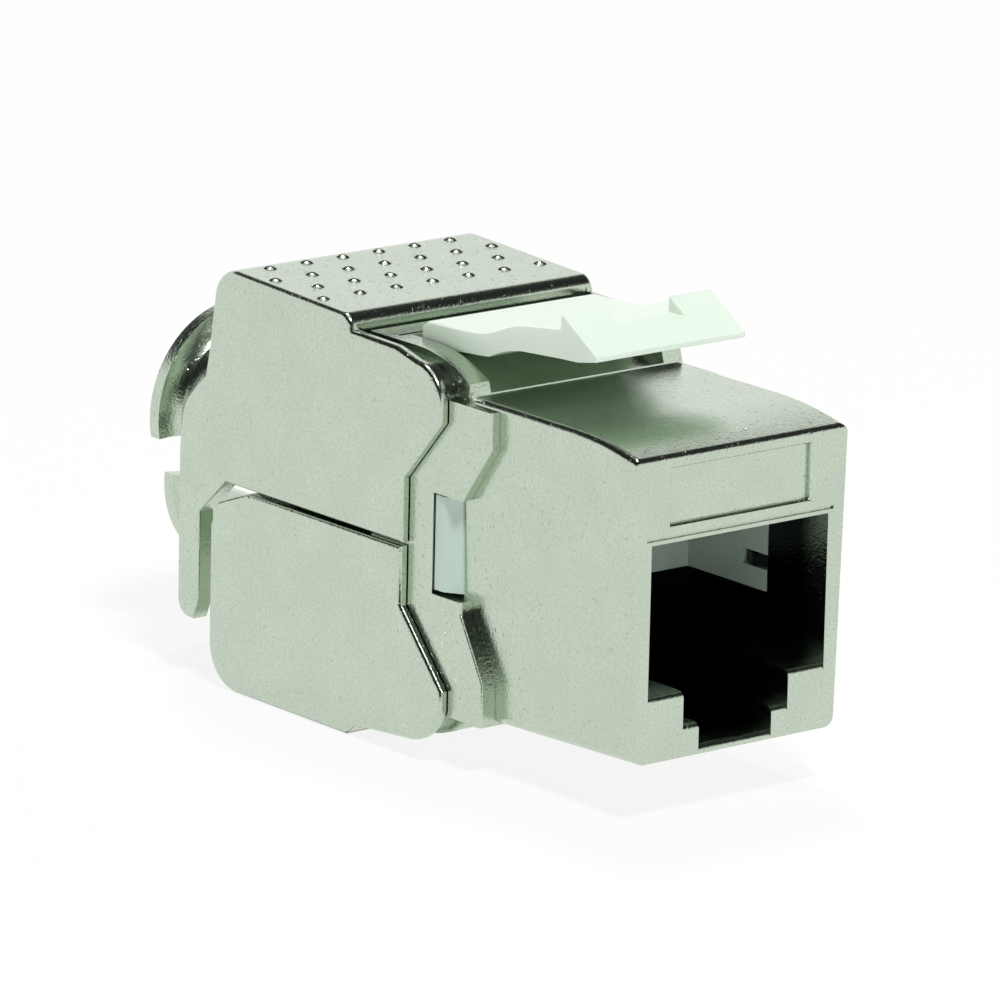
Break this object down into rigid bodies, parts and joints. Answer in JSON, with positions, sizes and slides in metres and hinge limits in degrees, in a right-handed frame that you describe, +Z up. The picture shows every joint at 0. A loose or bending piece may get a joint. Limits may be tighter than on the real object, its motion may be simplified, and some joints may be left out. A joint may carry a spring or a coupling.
{
  "type": "keystone jack",
  "caption": "Shielded tool-less keystone jack: die-cast nose with a stepped plug port, two hinged rear flaps, a flanged cable outlet and a sprung white latch clip.",
  "frame": {"origin": "under the middle of the bounding box, level with the lowest face of the lower flap", "axes": "+Z up, +X across the jack, +Y from the plug port towards the cable outlet"},
  "size_m": [0.0168, 0.0432, 0.0255],
  "materials": {
    "nickel_plated_zinc": "satin nickel plating on pitted zinc die casting",
    "clip_plastic": "white moulded polycarbonate, smooth",
    "insert_plastic": "cool white moulded polycarbonate",
    "board": "green solder mask",
    "block_plastic": "white moulded polycarbonate",
    "spring_steel": "plain stamped spring strip",
    "gold_contact": "thin gold plating on phosphor bronze wire",
    "tinned_terminal": "tin plating on phosphor bronze"
  },
  "bodies": {
    "shell": {"front_shell": "nickel_plated_zinc", "port_insert": "insert_plastic", "circuit_board": "board", "idc_block_upper": "block_plastic", "idc_block_lower": "block_plastic", "wire_manager": "block_plastic", "ground_spring_left": "spring_steel", "ground_spring_right": "spring_steel", "contact_1": "gold_contact", "contact_2": "gold_contact", "contact_3": "gold_contact", "contact_4": "gold_contact", "contact_5": "gold_contact", "contact_6": "gold_contact", "contact_7": "gold_contact", "contact_8": "gold_contact", "idc_terminal_1": "tinned_terminal", "idc_terminal_2": "tinned_terminal", "idc_terminal_3": "tinned_terminal", "idc_terminal_4": "tinned_terminal", "idc_terminal_5": "tinned_terminal", "idc_terminal_6": "tinned_terminal", "idc_terminal_7": "tinned_terminal", "idc_terminal_8": "tinned_terminal"},
    "upper_flap": {"upper_flap": "nickel_plated_zinc"},
    "lower_flap": {"lower_flap": "nickel_plated_zinc"},
    "latch_clip": {"latch_clip": "clip_plastic"}
  },
  "joints": [
    {"name": "upper_flap_hinge", "type": "hinge", "parent": "shell", "child": "upper_flap", "pos_m": [0, -0.0048, 0.0197], "axis": [1, 0, 0], "range_deg": [0, 95]},
    {"name": "lower_flap_hinge", "type": "hinge", "parent": "shell", "child": "lower_flap", "pos_m": [0, -0.0052, 0.0035], "axis": [-1, 0, 0], "range_deg": [0, 90]},
    {"name": "latch_clip_flex", "type": "hinge", "parent": "shell", "child": "latch_clip", "pos_m": [0, -0.0034, 0.0224], "axis": [1, 0, 0], "range_deg": [0, 10], "stiffness_Nm_per_rad": 0.2}
  ]
}
